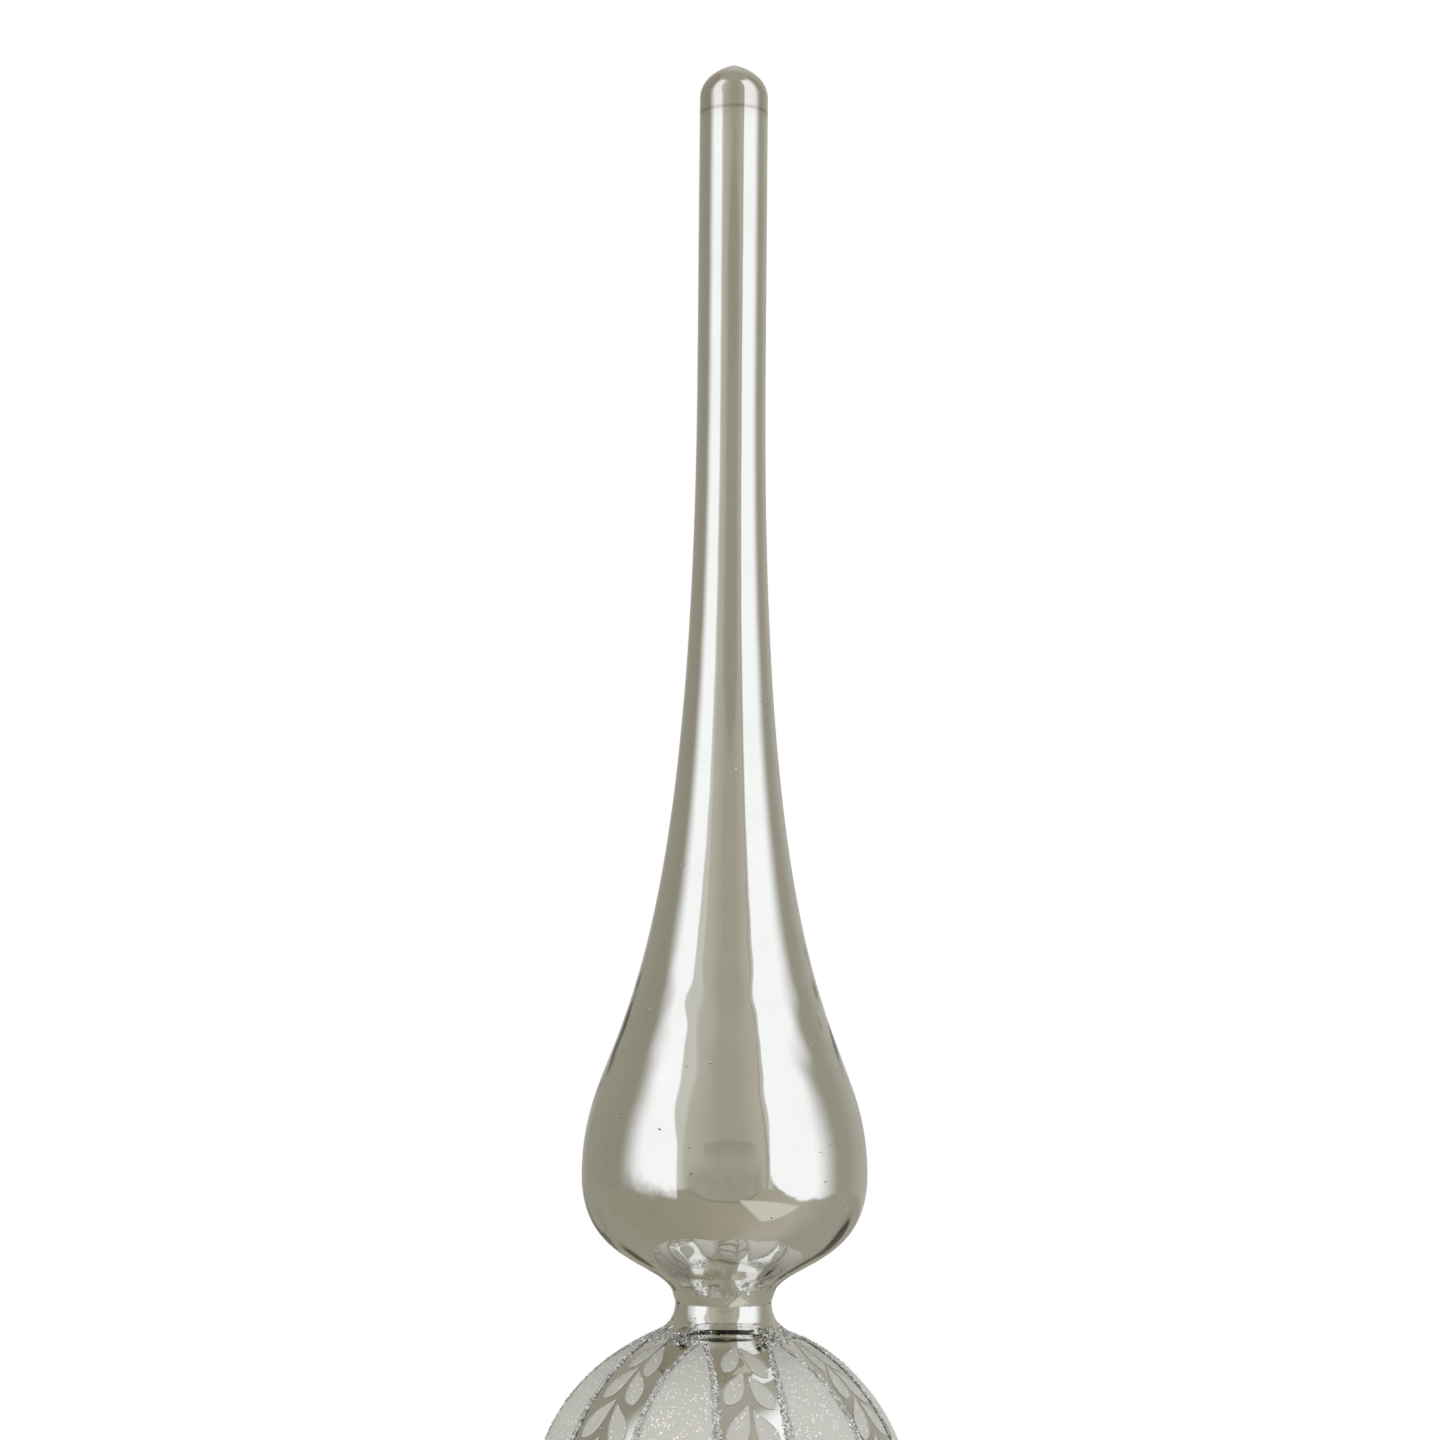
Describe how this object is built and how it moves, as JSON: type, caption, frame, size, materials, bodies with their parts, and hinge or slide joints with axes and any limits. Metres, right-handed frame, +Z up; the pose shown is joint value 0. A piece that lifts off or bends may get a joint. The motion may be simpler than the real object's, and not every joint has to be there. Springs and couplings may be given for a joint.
{
  "type": "glass finial tree topper",
  "caption": "Silvered glass finial for a tree top: long round-tipped spire and teardrop bulb above a frosted ball, on an open socket with a metal collar and grip spring.",
  "frame": {"origin": "centre of the collar's flat resting face, on the spire's axis", "axes": "+Z up along the axis towards the spire's tip; -Y faces the viewer"},
  "size_m": [0.0717, 0.0719, 0.3429],
  "materials": {
    "silvered_glass": "blown glass silvered inside, mirror bright with a warm grey cast, clear at the sealed tip",
    "frost": "matt pale frost with fine iridescent sparkle",
    "silver_glitter": "coarse silver glitter laid on a glue line",
    "collar_aluminium": "thin pressed sheet, satin",
    "spring_steel": "drawn wire, bright"
  },
  "bodies": {
    "grip": {"rim_collar": "collar_aluminium", "grip_spring": "spring_steel"},
    "glass": {"spire_glass": "silvered_glass", "ball_glass": "silvered_glass", "socket_glass": "silvered_glass", "neck_glitter": "silver_glitter", "waist_glitter": "silver_glitter", "petal_frost_1": "frost", "petal_bead_1": "silver_glitter", "leaf_spray_1": "frost", "petal_frost_2": "frost", "petal_bead_2": "silver_glitter", "leaf_spray_2": "frost", "petal_frost_3": "frost", "petal_bead_3": "silver_glitter", "leaf_spray_3": "frost", "petal_frost_4": "frost", "petal_bead_4": "silver_glitter", "leaf_spray_4": "frost", "petal_frost_5": "frost", "petal_bead_5": "silver_glitter", "leaf_spray_5": "frost", "petal_frost_6": "frost", "petal_bead_6": "silver_glitter", "leaf_spray_6": "frost", "petal_frost_7": "frost", "petal_bead_7": "silver_glitter", "leaf_spray_7": "frost"}
  },
  "joints": [
    {"name": "pull_off", "type": "slide", "parent": "grip", "child": "glass", "axis": [0, 0, 1], "range_m": [0, 0.038]}
  ]
}
